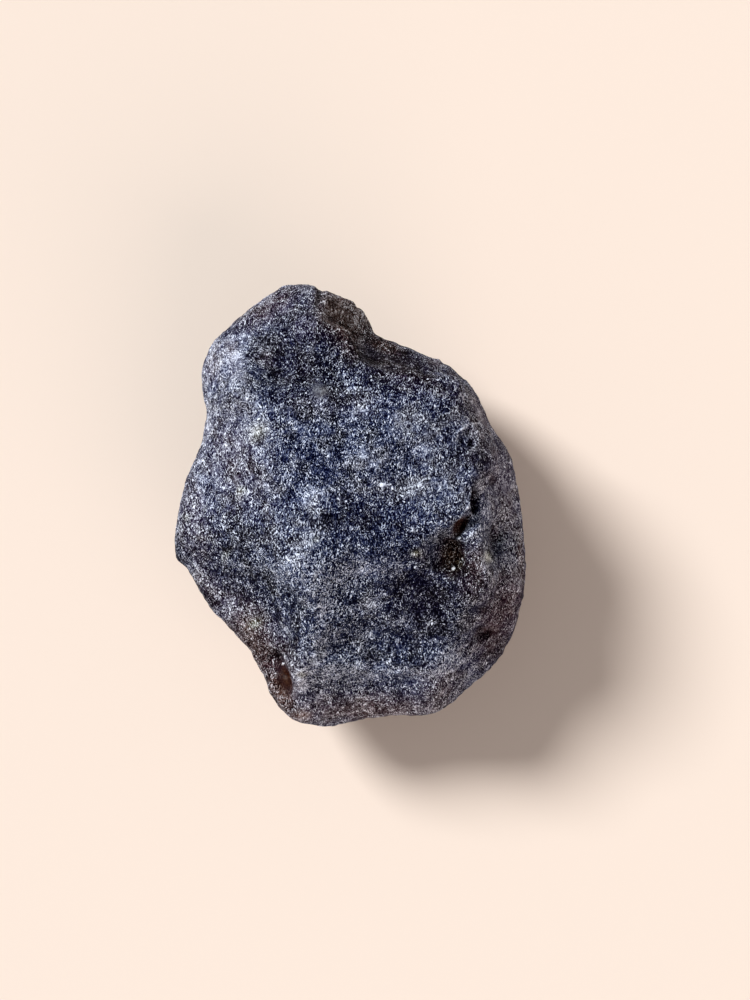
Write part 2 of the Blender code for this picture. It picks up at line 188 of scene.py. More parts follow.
    ("head of the lower flank", (-8.4, -2.2), 1.4, 0.9, 0, 2, dict(white=-2.2)),
    ("over the lower flank", (-7.4, -0.6), 0.9, 0.6, 0, 2, dict(white=1.1)),
    ("low on the left flank", (-10.7, -6.0), 1.5, 1.0, 130, 2, dict(white=-2.1)),
    ("edge of the lower flank", (-12.7, -7.7), 2.0, 0.65, 130, 2, dict(white=-2.0)),
    ("foot of the lower flank", (-7.2, -8.8), 1.3, 0.8, 120, 2, dict(white=-1.6)),
    ("left of the ridge's foot", (-6.4, -7.3), 0.9, 0.6, 0, 2, dict(white=-1.9)),
    ("above the slot", (-6.9, -11.2), 1.2, 0.7, 120, 2, dict(white=-1.4)),
    ("by the pit", (6.2, -4.2), 1.1, 0.8, 10, 2, dict(white=-0.3, stain_and_warm_bounce=0.25)),
    ("below the slanting crack", (10.6, -2.6), 0.8, 0.65, 0, 2, dict(white=-1.8, stain_and_warm_bounce=0.3, coarse=0.2)),
    ("between the cracks", (10.5, -1.3), 0.7, 0.4, 40, 2, dict(white=1.8)),
    ("streak on the ridge", (-2.6, -8.4), 1.2, 0.28, 112, 2, dict(white=1.8)),
    ("foot of the streak", (-2.4, -9.9), 1.0, 0.5, 105, 2, dict(white=2.7)),
    ("smooth spot", (-2.8, 10.2), 0.88, 0.82, 0, 5, dict(bare=0.9, ochre=0.3, stain_and_warm_bounce=0.1, white=1.9)),
    ("below the smooth spot", (-2.7, 9.0), 0.9, 0.6, 0, 2, dict(white=2.0)),
    ("right of the smooth spot", (-1.3, 9.7), 1.6, 0.6, 80, 2, dict(white=-3.6)),
    ("over the smooth spot", (-1.7, 11.4), 1.05, 0.75, 0, 2, dict(white=-4.6)),
    ("left of the smooth spot", (-4.05, 10.0), 1.6, 0.65, 95, 2, dict(white=-2.8)),
    # Painted warm bounce as well as stain: the apron turns down, away from the window, and is browned.
    ("apron", (1.5, -17.6), 8.0, 1.6, 0, 2, dict(white=0.7, stain_and_warm_bounce=0.7, coarse=-0.12)),
    ("left end of the apron", (-4.4, -18.2), 1.5, 0.8, 0, 2, dict(white=1.9, stain_and_warm_bounce=0.95)),
    ("middle of the apron", (-0.6, -17.2), 1.6, 0.8, 160, 2, dict(white=-1.6)),
    ("lower edge of the apron", (4.0, -17.9), 1.2, 0.5, 10, 2, dict(white=1.2)),
    ("dip in the apron", (4.0, -16.2), 1.4, 0.6, 0, 2, dict(white=-1.5)),
    # Painted warm bounce as well as stain: the right flank, turned away from the window, is browned.
    ("right flank", (13.4, 2.0), 7.0, 2.0, 97, 2, dict(white=0.75, stain_and_warm_bounce=0.4, coarse=-0.3)),
    ("right of the ridge", (-2.4, -8.4), 3.6, 1.4, 95, 2, dict(white=1.0)),
    ("coarse low in the middle", (-1.6, -8.0), 4.0, 3.0, 100, 2, dict(coarse=0.48, white=-0.7)),
    ("coarse over the ledge", (-1.6, -14.6), 3.2, 2.0, 160, 2, dict(coarse=0.65, white=-0.4)),
    ("coarse right bowl", (1.8, -9.0), 2.2, 1.6, 0, 2, dict(coarse=0.15)),
    ("coarse flank", (13.2, -3.4), 3.6, 1.7, 90, 2, dict(coarse=0.36)),
    ("calm low flank", (12.6, -11.0), 2.2, 1.6, 60, 2, dict(coarse=-0.2)),
    ("calm by the scar", (9.3, 4.9), 2.6, 1.8, 110, 2, dict(coarse=-0.2, blue=-0.6)),
    ("coarse foot of the knob", (-0.8, 10.8), 2.6, 1.4, 160, 2, dict(coarse=0.4)),
    ("coarse hollow", (-6.0, 12.4), 2.2, 1.4, 0, 2, dict(coarse=0.15)),
    ("coarse inner slope", (-7.2, 6.4), 1.8, 1.2, 0, 2, dict(coarse=0.2)),
    ("coarse by the pit", (8.6, -2.6), 2.2, 1.3, 0, 2, dict(coarse=0.25)),
    ("calm left half of the bowl", (-1.2, -0.8), 2.2, 1.6, 0, 2, dict(coarse=-0.12)),
    ("calm top of the knob", (-6.4, 17.4), 2.0, 1.2, 30, 2, dict(coarse=-0.15)),
    ("coarse by the ridge", (-6.6, -7.0), 2.4, 1.6, 120, 2, dict(coarse=0.15)),
    ("dip by the saddle", (-6.1, 1.9), 3.2, 1.3, 112, 2, dict(white=-1.3)),
    ("foot of the hollow", (-6.8, 9.2), 1.9, 0.9, 98, 2, dict(white=-3.1)),
    ("foot of the brow", (2.2, 10.8), 1.6, 0.95, 150, 2, dict(white=-3.9)),
    ("right of the dome", (8.5, 4.6), 1.6, 0.7, 12, 2, dict(white=-3.9)),
    ("right of the dome's head", (8.7, 8.5), 1.2, 0.8, 0, 2, dict(white=-1.8)),
    ("rim under the brow", (11.0, 8.5), 1.8, 0.45, 118, 2, dict(white=2.6, coarse=-0.3)),
    ("upper right edge", (12.5, 5.8), 1.3, 0.45, 115, 2, dict(white=1.5)),
    ("below the scar", (8.6, 3.1), 0.9, 0.7, 90, 2, dict(white=1.5)),
    ("left of the scar", (9.1, 5.7), 0.5, 0.5, 0, 2, dict(white=1.4)),
    ("right of the scar's foot", (10.6, 4.3), 1.2, 0.7, 100, 2, dict(white=-1.6, stain_and_warm_bounce=0.2)),
    ("right of the bowl", (4.0, -3.3), 1.9, 1.1, 10, 2, dict(white=-2.7)),
    ("right end of the bowl", (7.5, -0.7), 1.0, 0.65, 0, 2, dict(white=-2.2)),
    ("shade above the pit", (6.7, -2.7), 0.95, 0.7, 0, 2, dict(white=-3.7)),
    ("low in the bowl", (-1.8, -4.4), 1.6, 0.8, 160, 2, dict(white=-2.8)),
    ("left of the ridge", (-4.6, -8.7), 2.4, 1.0, 90, 2, dict(white=-2.6)),
    ("foot of the ridge", (-4.4, -12.6), 1.2, 0.9, 0, 2, dict(white=-2.1)),
    ("below the dark bowl", (6.0, -9.9), 2.1, 1.1, 0, 2, dict(white=-2.0)),
    ("ledge, left end", (-2.3, -13.8), 1.3, 1.0, 0, 2, dict(white=3.5)),
    ("left corner", (-13.3, -0.3), 1.3, 0.9, 90, 2, dict(white=0.9)),
    ("head of the left corner", (-13.0, 1.5), 1.8, 0.75, 95, 2, dict(white=2.6)),
    ("foot of the dome", (3.4, 1.4), 1.4, 0.85, 0, 2, dict(white=2.2)),
    ("between the lobes of the dome", (1.6, 6.8), 1.1, 0.9, 0, 2, dict(white=-2.7)),
    ("right of the crack", (11.4, -0.3), 1.3, 0.6, 90, 2, dict(white=1.9)),
    ("right edge", (13.4, 1.4), 1.6, 0.8, 90, 2, dict(white=2.1)),
    ("right edge, low", (14.7, -4.0), 2.8, 0.5, 92, 2, dict(white=1.0, stain_and_warm_bounce=0.6)),
    ("low on the right", (10.0, -8.4), 3.4, 1.3, 0, 2, dict(white=-0.7)),
    ("light patch on the right", (10.3, -9.8), 1.1, 0.8, 0, 2, dict(white=1.8)),
    ("over the ledge's right end", (7.3, -11.3), 1.0, 0.7, 0, 2, dict(white=1.3)),
    ("foot of the right bowl", (-0.8, -9.2), 1.7, 1.0, 100, 2, dict(white=-2.6)),
    ("under the right bowl", (0.2, -10.4), 0.9, 0.7, 0, 2, dict(white=-1.6)),
    ("under the dark bowl", (3.2, -11.0), 1.0, 0.8, 0, 2, dict(white=-1.7)),
    ("below the ridge", (-1.8, -11.6), 1.2, 1.2, 0, 2, dict(white=1.1)),
    ("left of the lower flank", (-13.4, -5.7), 1.0, 0.7, 120, 2, dict(white=1.8)),
    ("top of the brow", (7.2, 12.6), 1.5, 0.8, 150, 2, dict(white=1.9, stain_and_warm_bounce=0.5)),
    ("below the notch", (5.0, 11.3), 1.0, 0.6, 150, 2, dict(white=-2.0)),
    ("left foot of the dome", (-1.1, 4.4), 1.9, 1.15, 100, 2, dict(white=-2.9)),
    ("dip in the dome", (4.2, 3.9), 1.3, 0.85, 0, 2, dict(white=-2.6)),
    ("dip low in the dome", (6.0, 2.9), 0.9, 0.6, 0, 2, dict(white=-1.6)),
    ("dip at the dome's left foot", (0.8, 2.5), 0.9, 0.6, 0, 2, dict(white=-2.2)),
    ("over the bowl", (-0.2, 1.6), 0.8, 0.6, 0, 2, dict(white=2.7)),
    ("by the upright crack", (9.1, 1.0), 0.9, 0.6, 0, 2, dict(white=-1.5)),
    ("head of the dome", (4.9, 8.7), 1.8, 0.9, 0, 2, dict(white=-2.1)),
    ("knob's foot", (-2.1, 15.2), 1.1, 1.0, 0, 2, dict(white=-4.9)),
    ("shoulder's head", (-8.2, 14.5), 1.6, 1.1, 0, 2, dict(white=1.2)),
    ("left slope, low", (-8.6, 1.7), 1.5, 0.9, 30, 2, dict(white=2.5)),
    ("hollow over the ledge", (3.3, -12.6), 1.5, 0.9, 0, 2, dict(white=-2.6)),
    ("left half of the hollow over the ledge", (0.0, -12.7), 1.7, 0.85, 0, 2, dict(white=-2.6)),
    ("ledge, middle", (1.1, -14.7), 2.0, 0.75, 0, 2, dict(white=1.9)),
    ("dip in the ledge", (5.7, -13.6), 1.9, 0.75, 0, 2, dict(white=-2.4)),
    ("below the dip in the ledge", (6.3, -15.0), 0.8, 0.5, 0, 2, dict(white=1.2)),
    ("left edge", (-15.1, -4.1), 1.5, 0.75, 125, 2, dict(white=-3.6)),
    ("low right edge", (12.9, -12.7), 2.1, 1.0, 50, 2, dict(white=-1.7)),
    ("stain right of the pit", (10.6, -5.8), 2.6, 1.5, 90, 2, dict(stain_and_warm_bounce=0.6)),
    ("stain at the lower left", (-8.0, -12.6), 5.5, 2.3, 122, 2, dict(stain_and_warm_bounce=0.85, white=-0.3)),
    ("stain about the slot", (-6.3, -15.8), 3.0, 1.5, 115, 2, dict(stain_and_warm_bounce=1.0, white=-0.8)),
    # Painted warm bounce as well as stain: the low right flank turns away from the window and is browned.
    ("stain and painted warm bounce on the low right flank", (13.2, -9.0), 5.5, 2.2, 68, 2, dict(stain_and_warm_bounce=0.68, white=-0.2, coarse=-0.25)),
    ("stain on the knob", (-7.0, 17.5), 4.5, 1.3, 30, 2, dict(stain_and_warm_bounce=0.5, white=0.6)),
    ("stain on the left slope", (-10.4, 4.4), 5.8, 2.9, 112, 2, dict(stain_and_warm_bounce=0.31)),
    # Painted warm bounce as well as stain: the upper right edge and the end of the apron turn away from the
    # window and are browned.
    ("stain and painted warm bounce on the upper right edge", (11.2, 8.4), 4.6, 1.6, 125, 2, dict(stain_and_warm_bounce=0.42)),
    ("stain and painted warm bounce at the end of the apron", (7.7, -15.8), 2.6, 1.6, 30, 2, dict(stain_and_warm_bounce=0.5, white=0.4)),
    ("stain below the smooth spot", (-1.8, 9.2), 4.6, 1.4, 0, 2, dict(stain_and_warm_bounce=0.15)),
    ("stain on the edge of the lower flank", (-12.2, -7.4), 2.6, 1.4, 125, 2, dict(stain_and_warm_bounce=0.5)),
    ("blue below the bowl", (2.4, -4.8), 4.2, 1.9, 5, 2, dict(blue=1.0)),
    ("blue right of the ridge", (-2.0, -7.4), 2.8, 1.6, 95, 2, dict(blue=0.8)),
    ("blue over the ledge", (-1.0, -14.8), 3.0, 1.6, 0, 2, dict(blue=1.0)),
    ("blue by the saddle", (-5.6, 3.8), 2.8, 1.6, 110, 2, dict(blue=0.5)),
    ("grey low on the dome", (4.4, 2.0), 2.4, 1.1, 0, 2, dict(blue=-0.7)),
    ("grey right of the bowl", (7.6, -9.4), 3.6, 2.6, 100, 2, dict(blue=-0.6)),
    ("grey by the smooth spot", (-4.4, 9.2), 2.4, 1.6, 0, 2, dict(blue=-0.6)),
    ("stain at the left corner", (-13.9, -1.0), 5.5, 1.9, 105, 2, dict(stain_and_warm_bounce=0.36, white=-0.2)),
    ("crumbs on the left slope", (-8.2, 6.5), 0.9, 0.7, 60, 2, dict(ochre=0.6, white=2.0)),
    ("crumbs low on the slope", (-9.7, 1.4), 0.5, 0.4, 0, 2, dict(ochre=0.6, white=0.8)),
    ("crumbs by the left corner", (-14.4, -1.0), 0.5, 0.35, 90, 2, dict(ochre=0.5, white=2.4)),
    ("crumbs on the lower flank", (-10.9, -4.2), 0.6, 0.35, 60, 2, dict(ochre=0.5, white=0.0)),
    ("crumbs at the lower edge", (-8.4, -10.2), 0.6, 0.4, 30, 2, dict(ochre=0.9, white=0.4)),
    ("crumbs on the ridge's head", (-3.1, -2.8), 0.5, 0.4, 30, 2, dict(ochre=0.5, white=1.8)),
    ("crumbs left of the pit", (5.6, -4.0), 0.5, 0.4, 0, 2, dict(ochre=0.9, white=2.4)),
    ("crumbs right of the pit", (11.9, -4.4), 0.55, 0.4, 100, 2, dict(ochre=0.9, white=4.4)),
]


def as_seen(place):
    """Where the eye sees a place, at the level of the widest contour."""
    spread = EYE_HEIGHT / (EYE_HEIGHT + WIDEST - place.z)
    across = EYE[0] + (place.x - EYE[0]) * spread
    along = EYE[1] + (place.y - EYE[1]) * spread
    return Vector((across, along, place.z))


def oval(place, middle, length, width, turn, firmness):
    """1 in the middle of an oval seen from above, falling to 0 outside it."""
    dx, dy = place.x - middle[0], place.y - middle[1]
    if max(abs(dx), abs(dy)) > 2.4 * length:
        return 0
    turn = math.radians(turn)
    along = (dx * math.cos(turn) + dy * math.sin(turn)) / length
    across = (dy * math.cos(turn) - dx * math.sin(turn)) / width
    return math.exp(-((along * along + across * across) ** (firmness / 2)))


def weathering(place):
    """Height of the etched relief at a place given in millimetres."""
    wander = noise.noise_vector(place * 0.5) * 0.8
    swell = noise.noise(place / 2.6 + wander * 0.3) * 0.1
    knobbly = (0.25 - abs(noise.noise((place + wander) / 1.3))) * 0.13
    etched = noise.noise(place / 0.6) * 0.07
    cells = noise.voronoi(place / 0.9 + wander * 0.2)[0][0]
    scoops = -0.08 * max(0, 1 - cells * 1.8)
    return swell + knobbly + etched + scoops


def fine_skin(node):
    """The solid's surface as one even, finely divided skin."""
    bm = bmesh.new()
    bm.from_mesh(node.data)
    bmesh.ops.remove_doubles(bm, verts=bm.verts, dist=0.001 * MM)
    mesh = bpy.data.meshes.new("stone_rough_out")
    bm.to_mesh(mesh)
    bm.free()
    rough_out = bpy.data.objects.new("stone_rough_out", mesh)
    scene.collection.objects.link(rough_out)
    evener = rough_out.modifiers.new("evener", "REMESH")
    evener.mode = "VOXEL"
    evener.voxel_size = GRAIN_OF_MESH
    even = rough_out.evaluated_get(bpy.context.evaluated_depsgraph_get())
    skin = bpy.data.meshes.new_from_object(even)
    bpy.data.objects.remove(rough_out)
    bpy.data.meshes.remove(mesh)
    skin.name = "stone_skin"
    return skin


def soften(bm, passes):
    for _ in range(passes):
        bmesh.ops.smooth_vert(
            bm, verts=bm.verts, factor=0.5, use_axis_x=True, use_axis_y=True, use_axis_z=True
        )


noise.seed_set(SEED)
skin = fine_skin(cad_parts["stone"])
bm = bmesh.new()
bm.from_mesh(skin)
soften(bm, EVENING_PASSES)

# The skin is divided once more where the narrow marks are pressed in, and again
# at the thinnest ones.
for limit in (NARROW, THIN):
    narrow = [mark for mark in MARKS if mark[3] < limit and "deep" in mark[6]]
    finer = set()
    for face in bm.faces:
        place = as_seen(face.calc_center_median() / MM)
        if face.normal.z > 0 and any(
            oval(place, middle, length + MARGIN, width + MARGIN, turn, 2) > 0.12
            for _, middle, length, width, turn, _, _ in narrow
        ):
            finer.update(face.edges)
    bmesh.ops.subdivide_edges(bm, edges=list(finer), cuts=1, use_grid_fill=True)

bm.normal_update()
body = [vert.co.copy() for vert in bm.verts]
outward = [vert.normal.copy() for vert in bm.verts]
soften(bm, BROAD_PASSES)
broad = [vert.co.copy() for vert in bm.verts]

floor_level = solid_box[0][2]
masks = {name: [] for name in ("proud", "deep", "white", "stain_and_warm_bounce", "ochre", "bare", "coarse", "blue")}
for vert, co, normal, broad_co in zip(bm.verts, body, outward, broad):
    place = co / MM
    relief = weathering(place)
    wander = noise.noise_vector(place * 1.1) * 0.28 + noise.noise_vector(place * 3) * 0.08
    seen = as_seen(place)
    broadly, closely = seen + wander, seen + wander * 0.3
    found = dict.fromkeys(masks, 0)
    facing = min(1, 1 + normal.z / FADE_BELOW)
    if facing > 0:
        for _, middle, length, width, turn, firmness, does in MARKS:
            spot = closely if width < NARROW else broadly
            share = facing * oval(spot, middle, length, width, turn, firmness)
            for effect, amount in does.items() if share else ():
                if effect in ("deep", "white", "coarse", "blue"):
                    found[effect] += amount * share
                else:
                    found[effect] = max(found[effect], amount * share)
    found["proud"] = (co - broad_co).dot(normal) / MM + relief
    vert.co = co + normal * relief * MM
    if found["deep"]:
        vert.co -= (normal + Vector((0, 0, 1))).normalized() * found["deep"] * MM
    if co.z < floor_level + 0.05 * MM or vert.co.z < floor_level:
        vert.co.z = floor_level
    for name, values in masks.items():
        values.append(found[name])
bm.to_mesh(skin)
bm.free()
for name, values in masks.items():
    skin.attributes.new(name, "FLOAT", "POINT").data.foreach_set("value", values)
skin.shade_smooth()
stone = bpy.data.objects.new("stone_skin", skin)
scene.collection.objects.link(stone)
print("stone skin triangles", sum(len(p.vertices) - 2 for p in skin.polygons))
for name, values in masks.items():
    values = sorted(values)
    print(name, [round(values[int(len(values) * q / 100)], 3) for q in (1, 5, 25, 50, 75, 95, 99)])
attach(stone, "root")
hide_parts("stone")


def add(tree, kind, **settings):
    """A new node in a tree, with its settings."""
    made = tree.nodes.new("ShaderNode" + kind)
    for name, value in settings.items():
        setattr(made, name, value)
    return made


def join(tree, source, target):
    tree.links.new(source, target)


def arithmetic(tree, operation, first, second, third=None, clamp=False):
    """The result of one sum of two or three values, each a socket or a number."""
    made = add(tree, "Math", operation=operation, use_clamp=clamp)
    for socket, value in zip(made.inputs, (first, second, third)):
        if isinstance(value, bpy.types.NodeSocket):
            join(tree, value, socket)
        elif value is not None:
            socket.default_value = value
    return made.outputs[0]


def cloud(tree, where, per_mm, detail, roughness, kind="FBM", distortion=0.0):
    """Noise of so many waves to a millimetre."""
    made = add(tree, "TexNoise", noise_dimensions="3D", noise_type=kind)
    made.inputs["Scale"].default_value = per_mm
    made.inputs["Detail"].default_value = detail
    made.inputs["Roughness"].default_value = roughness
    made.inputs["Distortion"].default_value = distortion
    join(tree, where, made.inputs["Vector"])
    return made


def ramp(tree, factor, stops, interpolation="LINEAR"):
    """A colour ramp with the given stops, each a place and a colour."""
    made = add(tree, "ValToRGB")
    made.color_ramp.interpolation = interpolation
    elements = made.color_ramp.elements
    while len(elements) < len(stops):
        elements.new(0.5)
    for element, (place, colour) in zip(elements, stops):
        element.position = place
        element.color = (*colour, 1)
    join(tree, factor, made.inputs["Fac"])
    return made.outputs["Color"]


def blend(tree, kind, factor, first, second):
    """Two colours mixed, each a socket or a colour."""
    made = add(tree, "Mix", data_type="RGBA", blend_type=kind)
    if isinstance(factor, bpy.types.NodeSocket):
        join(tree, factor, made.inputs["Factor"])
    else:
        made.inputs["Factor"].default_value = factor
    sockets = [s for s in made.inputs if s.type == "RGBA"]
    for socket, value in zip(sockets, (first, second)):
        if isinstance(value, bpy.types.NodeSocket):
            join(tree, value, socket)
        else:
            socket.default_value = (*value, 1)
    return [s for s in made.outputs if s.type == "RGBA"][0]


def painted(tree, name):
    """A mask that the mesh carries."""
    made = add(tree, "Attribute", attribute_type="GEOMETRY", attribute_name=name)
    return made.outputs["Fac"]


glass = bpy.data.materials.new("etched_natural_glass")
glass.use_nodes = True
tree = glass.node_tree
shader = tree.nodes["Principled BSDF"]
shader.inputs["IOR"].default_value = 1.5

# The pattern is laid out in millimetres.
place = add(tree, "TexCoord").outputs["Object"]
in_mm = add(tree, "Mapping")
in_mm.inputs["Scale"].default_value = (1 / MM, 1 / MM, 1 / MM)
join(tree, place, in_mm.inputs["Vector"])
in_mm = in_mm.outputs["Vector"]

# Etched grain: fine specks of 0.15 mm, drawn out a little into worms along the stone.
drawn = add(tree, "Mapping")
drawn.inputs["Scale"].default_value = (1.5, 0.8, 1)
join(tree, in_mm, drawn.inputs["Vector"])
bend = cloud(tree, in_mm, 1.8, 1, 0.5).outputs["Color"]
bent = add(tree, "VectorMath", operation="MULTIPLY_ADD")
bent.inputs[1].default_value = (0.5, 0.5, 0.5)
join(tree, bend, bent.inputs[0])
join(tree, drawn.outputs["Vector"], bent.inputs[2])
bent = bent.outputs["Vector"]
grain = cloud(tree, bent, 8.5, 1, 0.6).outputs["Fac"]
clots = cloud(tree, in_mm, 1.9, 3, 0.65).outputs["Fac"]
drifts = cloud(tree, in_mm, 0.7, 2, 0.5).outputs["Fac"]

white = painted(tree, "white")
stain_and_warm_bounce = painted(tree, "stain_and_warm_bounce")
deep = painted(tree, "deep")
proud = painted(tree, "proud")
ochre = painted(tree, "ochre")
bare = painted(tree, "bare")
coarse = painted(tree, "coarse")
blue = painted(tree, "blue")

# Painted glints: bright specks in the base colour, standing for single crystals of frost that catch the light.
cells = add(tree, "TexVoronoi", feature="F1")
cells.inputs["Scale"].default_value = 2.6
join(tree, bent, cells.inputs["Vector"])
chance = add(tree, "SeparateColor")
join(tree, cells.outputs["Color"], chance.inputs[0])
chosen = arithmetic(tree, "GREATER_THAN", chance.outputs[0], 0.72)
near = arithmetic(tree, "LESS_THAN", cells.outputs["Distance"], 0.2)
painted_glints = arithmetic(tree, "MULTIPLY", chosen, near)

# Flakes: ragged splashes of thicker frost.
flakes = add(tree, "MapRange", interpolation_type="SMOOTHSTEP")
flakes.inputs["From Min"].default_value = 0.53
flakes.inputs["From Max"].default_value = 0.62
join(tree, cloud(tree, in_mm, 2.0, 4, 0.6).outputs["Fac"], flakes.inputs["Value"])
flakes = arithmetic(tree, "MULTIPLY", flakes.outputs["Result"], arithmetic(
    tree, "MULTIPLY_ADD", white, 0.35, 0.5, clamp=True
))

# Petals: the blades of frost that a flake is made of.
petals = add(tree, "MapRange", interpolation_type="SMOOTHSTEP")
petals.inputs["From Min"].default_value = 0.5
petals.inputs["From Max"].default_value = 0.6
join(tree, cloud(tree, bent, 3.6, 2, 0.55).outputs["Fac"], petals.inputs["Value"])
petals = arithmetic(tree, "MULTIPLY", petals.outputs["Result"], flakes)

# Milk: soft clouds of frost too fine to show its grain.
milk = add(tree, "MapRange", interpolation_type="SMOOTHSTEP")
milk.inputs["From Min"].default_value = 0.5
milk.inputs["From Max"].default_value = 0.68
join(tree, cloud(tree, in_mm, 1.2, 2, 0.55).outputs["Fac"], milk.inputs["Value"])
milk = milk.outputs["Result"]

# Strokes: short curved edges of the etched cells, bright and thin.
edges = cloud(tree, bent, 3.4, 1, 0.5).outputs["Fac"]
edges = arithmetic(tree, "ABSOLUTE", arithmetic(tree, "SUBTRACT", edges, 0.5), 0)
strokes = add(tree, "MapRange", interpolation_type="SMOOTHSTEP")
strokes.inputs["From Min"].default_value = 0.05
strokes.inputs["From Max"].default_value = 0.0
join(tree, edges, strokes.inputs["Value"])
crowded = arithmetic(tree, "MULTIPLY_ADD", clots, 5, -2.3, clamp=True)
strokes = arithmetic(tree, "MULTIPLY", strokes.outputs["Result"], crowded)

# Threads: a few long fine lines, the rims of etched channels.
rims = cloud(tree, in_mm, 0.9, 3, 0.55).outputs["Fac"]
rims = arithmetic(tree, "ABSOLUTE", arithmetic(tree, "SUBTRACT", rims, 0.5), 0)
threads = add(tree, "MapRange", interpolation_type="SMOOTHSTEP")
threads.inputs["From Min"].default_value = 0.02
threads.inputs["From Max"].default_value = 0.0
join(tree, rims, threads.inputs["Value"])
drifted = arithmetic(tree, "MULTIPLY_ADD", drifts, 8, -4.0, clamp=True)
threads = arithmetic(tree, "MULTIPLY", threads.outputs["Result"], drifted)
strokes = arithmetic(tree, "ADD", strokes, threads)

# Worms: the winding walls between the etched cells, which run like contour lines.
turns = cloud(tree, bent, 2.4, 1, 0.5).outputs["Fac"]
worms = arithmetic(tree, "COSINE", arithmetic(tree, "MULTIPLY", turns, 9 * math.pi), 0)
worms = arithmetic(tree, "MULTIPLY_ADD", worms, 0.5, 0.5)
worms = arithmetic(tree, "POWER", worms, 1.2)
worms = arithmetic(tree, "MULTIPLY_ADD", worms, 2, -0.936)
depth = arithmetic(tree, "MULTIPLY_ADD", crowded, 0.2, 0.12)

grit = arithmetic(tree, "MULTIPLY_ADD", grain, 1.88, -0.94)
grit = arithmetic(tree, "MULTIPLY_ADD", worms, depth, grit)
grit = arithmetic(tree, "MULTIPLY_ADD", strokes, 0.16, grit)
calm = arithmetic(tree, "MULTIPLY_ADD", milk, -0.35, 1)
calm = arithmetic(tree, "MULTIPLY_ADD", flakes, -0.25, calm)
calm = arithmetic(tree, "MULTIPLY_ADD", white, -0.045, calm)
grit = arithmetic(tree, "MULTIPLY", grit, calm)
keep = arithmetic(tree, "MULTIPLY_ADD", bare, -0.95, arithmetic(tree, "ADD", coarse, 1))
grit = arithmetic(tree, "MULTIPLY", grit, keep)
pattern = arithmetic(tree, "MULTIPLY_ADD", clots, 0.45, -0.522)
pattern = arithmetic(tree, "MULTIPLY_ADD", drifts, 0.55, pattern)
pattern = arithmetic(tree, "MULTIPLY_ADD", milk, 0.06, pattern)
pattern = arithmetic(tree, "MULTIPLY_ADD", flakes, 0.08, pattern)
pattern = arithmetic(tree, "MULTIPLY_ADD", petals, 0.16, pattern)
pattern = arithmetic(tree, "MULTIPLY_ADD", painted_glints, 0.12, pattern)
tone = arithmetic(tree, "MULTIPLY_ADD", pattern, keep, grit)
# The whitening: frost, and painted light and shade where the marks stand for them.
tone = arithmetic(tree, "MULTIPLY_ADD", white, 0.058, tone)
tone = arithmetic(tree, "MULTIPLY_ADD", proud, 0.3, tone)
tone = arithmetic(tree, "MULTIPLY_ADD", deep, -0.12, tone)
tone = arithmetic(tree, "ADD", tone, 0.44)

navy = ramp(tree, tone, (
    (0.2, (0.0004, 0.0004, 0.0049)),
    (0.28, (0.0004, 0.0004, 0.0115)),
    (0.35, (0.0021, 0.0052, 0.0341)),
    (0.425, (0.0146, 0.0222, 0.0664)),
    (0.5, (0.0492, 0.0624, 0.1196)),
    (0.575, (0.1079, 0.1276, 0.1986)),
    (0.65, (0.2017, 0.2279, 0.3161)),
    (0.73, (0.3521, 0.3872, 0.4968)),
    (0.82, (0.5758, 0.6224, 0.7499)),
    (0.92, (0.7835, 0.8386, 0.95)),
))
grey = ramp(tree, tone, (
    (0.2, (0.0004, 0.0004, 0.0015)),
    (0.28, (0.0004, 0.0004, 0.0041)),
    (0.35, (0.005, 0.005, 0.0155)),
    (0.425, (0.0211, 0.0218, 0.0405)),
    (0.5, (0.0592, 0.0618, 0.0896)),
    (0.575, (0.1207, 0.1268, 0.1649)),
    (0.65, (0.2155, 0.227, 0.2786)),
    (0.73, (0.3656, 0.3861, 0.4561)),
    (0.82, (0.5873, 0.6213, 0.712)),
    (0.92, (0.791, 0.8378, 0.9414)),
))
# Earth colours for the brown mark: real stain, and painted warm bounce light on faces turned from the window.
stain_and_bounce_colours = ramp(tree, tone, (
    (0.2, (0.0027, 0.0004, 0.0004)),
    (0.28, (0.0065, 0.0004, 0.0004)),
    (0.35, (0.022, 0.0027, 0.0004)),
    (0.425, (0.0502, 0.0165, 0.0088)),
    (0.5, (0.0988, 0.0535, 0.0418)),
    (0.575, (0.17, 0.1157, 0.1031)),
    (0.65, (0.2743, 0.2132, 0.2033)),
    (0.73, (0.4323, 0.37, 0.3693)),
    (0.82, (0.6505, 0.6056, 0.6279)),
    (0.92, (0.8382, 0.8259, 0.8774)),
))
crumbs = ramp(tree, tone, (
    (0.2, (0.0004, 0.0004, 0.0004)),
    (0.28, (0.0018, 0.0005, 0.0004)),
    (0.35, (0.0088, 0.0057, 0.0004)),
    (0.425, (0.0283, 0.023, 0.0021)),
    (0.5, (0.0697, 0.0637, 0.0262)),
    (0.575, (0.1344, 0.1294, 0.0792)),
    (0.65, (0.2321, 0.2301, 0.1714)),
    (0.73, (0.3848, 0.3897, 0.3302)),
    (0.82, (0.6057, 0.6248, 0.5883)),
    (0.92, (0.8049, 0.8405, 0.8465)),
))
# The frost is bluer in some places than in others.
blueness = add(tree, "MapRange", interpolation_type="SMOOTHSTEP")
blueness.inputs["From Min"].default_value = 0.34
blueness.inputs["From Max"].default_value = 0.59
join(tree, cloud(tree, in_mm, 0.5, 3, 0.6).outputs["Fac"], blueness.inputs["Value"])
blueness = arithmetic(tree, "ADD", blueness.outputs["Result"], blue, clamp=True)
colour = blend(tree, "MIX", blueness, grey, navy)
